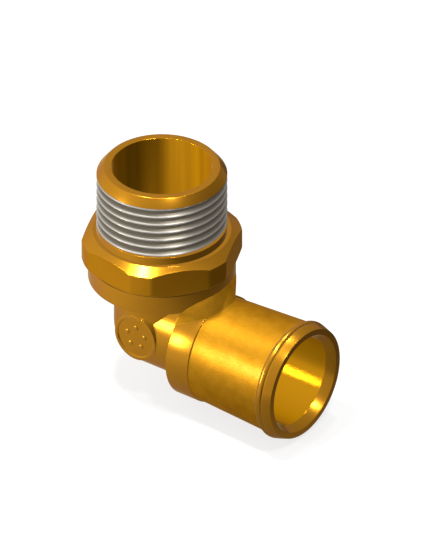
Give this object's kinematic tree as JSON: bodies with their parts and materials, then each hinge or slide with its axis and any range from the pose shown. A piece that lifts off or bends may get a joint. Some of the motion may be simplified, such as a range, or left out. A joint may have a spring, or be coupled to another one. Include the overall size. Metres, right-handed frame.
{
  "type": "male threaded elbow",
  "caption": "Right-angle brass pipe elbow: a male pipe thread with a hexagon and collar turns into a beaded hose tail.",
  "frame": {"origin": "thread axis, in the plane of the hexagon's top face, where the male thread's shank starts", "axes": "+Z along the male thread towards its end; +X along the hose tail towards its mouth"},
  "size_m": [0.0658, 0.04, 0.0639],
  "materials": {
    "brass": "machined, with a rough cast hose tail"
  },
  "bodies": {
    "root": {"elbow_body": "brass"}
  },
  "joints": []
}
